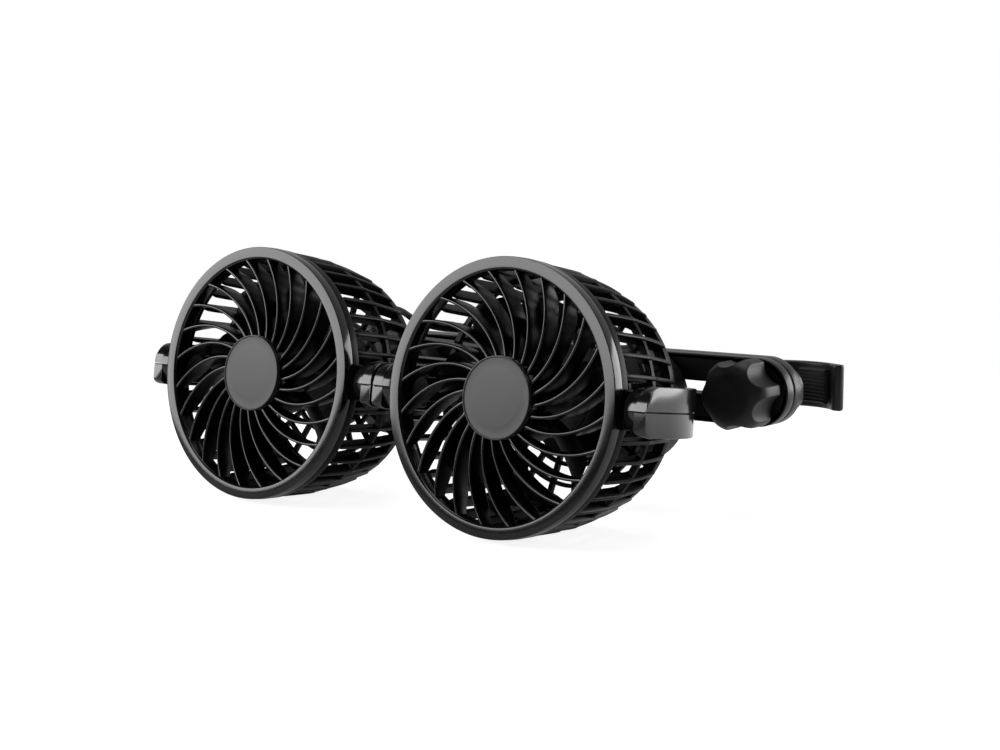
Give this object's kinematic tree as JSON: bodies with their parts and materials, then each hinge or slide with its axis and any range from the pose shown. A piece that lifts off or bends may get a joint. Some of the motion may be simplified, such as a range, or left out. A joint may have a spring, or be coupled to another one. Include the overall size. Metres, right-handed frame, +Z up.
{
  "type": "dual head car fan",
  "caption": "Two small caged fan heads on C-shaped yokes that swivel and tilt on a slotted bar, with hooked jaws and star knobs that clamp to headrest posts.",
  "frame": {"origin": "centre of the bounding box on the surface that the heads lie on", "axes": "+X to the right seen from the front, along the clamp bar; +Y from the fan heads back to the clamp jaws; +Z up"},
  "size_m": [0.303, 0.1612, 0.1162],
  "materials": {
    "gloss_black": "moulded black plastic, low gloss ring face and glossy yoke arms",
    "satin_black": "moulded black plastic, satin",
    "matte_black": "moulded black plastic, fine matt texture",
    "badge_grey": "satin dark grey label face, left bare",
    "rubber": "soft black rubber",
    "steel": "zinc plated steel",
    "motor_steel": "plated motor can"
  },
  "bodies": {
    "clamp_bar": {"clamp_bar_front": "satin_black", "clamp_bar_rear": "satin_black", "left_hub_base": "matte_black", "right_hub_base": "matte_black", "left_hub_screw_1": "steel", "left_hub_screw_2": "steel", "right_hub_screw_1": "steel", "right_hub_screw_2": "steel", "left_lead_gland": "rubber", "right_lead_gland": "rubber", "cord_gland": "rubber", "link_lead": "rubber"},
    "left_head": {"left_front_grille": "gloss_black", "left_grille_badge": "badge_grey", "left_rear_cage": "satin_black", "left_motor_can": "motor_steel", "left_motor_end_cap": "matte_black", "left_inner_pivot_pin": "matte_black", "left_outer_pivot_pin": "matte_black", "left_inner_friction_washer": "rubber", "left_outer_friction_washer": "rubber"},
    "left_rotor": {"left_impeller": "matte_black", "left_motor_shaft": "steel"},
    "left_yoke": {"left_yoke_upper_shell": "gloss_black", "left_yoke_lower_shell": "gloss_black", "left_yoke_screw_inner": "steel", "left_yoke_screw_outer": "steel", "left_swivel_bolt": "steel", "left_swivel_washer": "steel", "left_swivel_nut": "steel"},
    "left_jaw_carriage": {"left_jaw": "satin_black", "left_jaw_pad": "rubber", "left_clamp_bolt": "steel"},
    "left_knob": {"left_clamp_knob": "matte_black", "left_knob_washer": "matte_black"},
    "right_head": {"right_front_grille": "gloss_black", "right_grille_badge": "badge_grey", "right_rear_cage": "satin_black", "right_motor_can": "motor_steel", "right_motor_end_cap": "matte_black", "right_inner_pivot_pin": "matte_black", "right_outer_pivot_pin": "matte_black", "right_inner_friction_washer": "rubber", "right_outer_friction_washer": "rubber"},
    "right_rotor": {"right_impeller": "matte_black", "right_motor_shaft": "steel"},
    "right_yoke": {"right_yoke_upper_shell": "gloss_black", "right_yoke_lower_shell": "gloss_black", "right_yoke_screw_inner": "steel", "right_yoke_screw_outer": "steel", "right_swivel_bolt": "steel", "right_swivel_washer": "steel", "right_swivel_nut": "steel"},
    "right_jaw_carriage": {"right_jaw": "satin_black", "right_jaw_pad": "rubber", "right_clamp_bolt": "steel"},
    "right_knob": {"right_clamp_knob": "matte_black", "right_knob_washer": "matte_black"}
  },
  "joints": [
    {"name": "left_yoke_swivel", "type": "hinge", "parent": "clamp_bar", "child": "left_yoke", "pos_m": [-0.07067, -0.06081, 0.05761], "axis": [0, 0.9914, -0.1305], "range_deg": [-180, 180]},
    {"name": "left_head_tilt", "type": "hinge", "parent": "left_yoke", "child": "left_head", "pos_m": [-0.07067, -0.06081, 0.05761], "axis": [1, 0, 0], "range_deg": [-90, 90]},
    {"name": "left_rotor_spin", "type": "hinge", "parent": "left_head", "child": "left_rotor", "pos_m": [-0.07067, -0.06418, 0.05806], "axis": [0, 0.9914, -0.1305], "continuous": true},
    {"name": "left_jaw_slide", "type": "slide", "parent": "clamp_bar", "child": "left_jaw_carriage", "axis": [-1, 0, 0], "range_m": [-0.011, 0.002]},
    {"name": "left_knob_turn", "type": "hinge", "parent": "left_jaw_carriage", "child": "left_knob", "pos_m": [-0.126, 0.0477, 0.05486], "axis": [0, -1, 0], "range_deg": [0, 720]},
    {"name": "right_yoke_swivel", "type": "hinge", "parent": "clamp_bar", "child": "right_yoke", "pos_m": [0.07067, -0.06081, 0.05761], "axis": [0, 0.9914, -0.1305], "range_deg": [-180, 180]},
    {"name": "right_head_tilt", "type": "hinge", "parent": "right_yoke", "child": "right_head", "pos_m": [0.07067, -0.06081, 0.05761], "axis": [1, 0, 0], "range_deg": [-90, 90]},
    {"name": "right_rotor_spin", "type": "hinge", "parent": "right_head", "child": "right_rotor", "pos_m": [0.07067, -0.06418, 0.05806], "axis": [0, 0.9914, -0.1305], "continuous": true},
    {"name": "right_jaw_slide", "type": "slide", "parent": "clamp_bar", "child": "right_jaw_carriage", "axis": [1, 0, 0], "range_m": [-0.011, 0.002]},
    {"name": "right_knob_turn", "type": "hinge", "parent": "right_jaw_carriage", "child": "right_knob", "pos_m": [0.126, 0.0477, 0.05486], "axis": [0, -1, 0], "range_deg": [0, 720]}
  ]
}
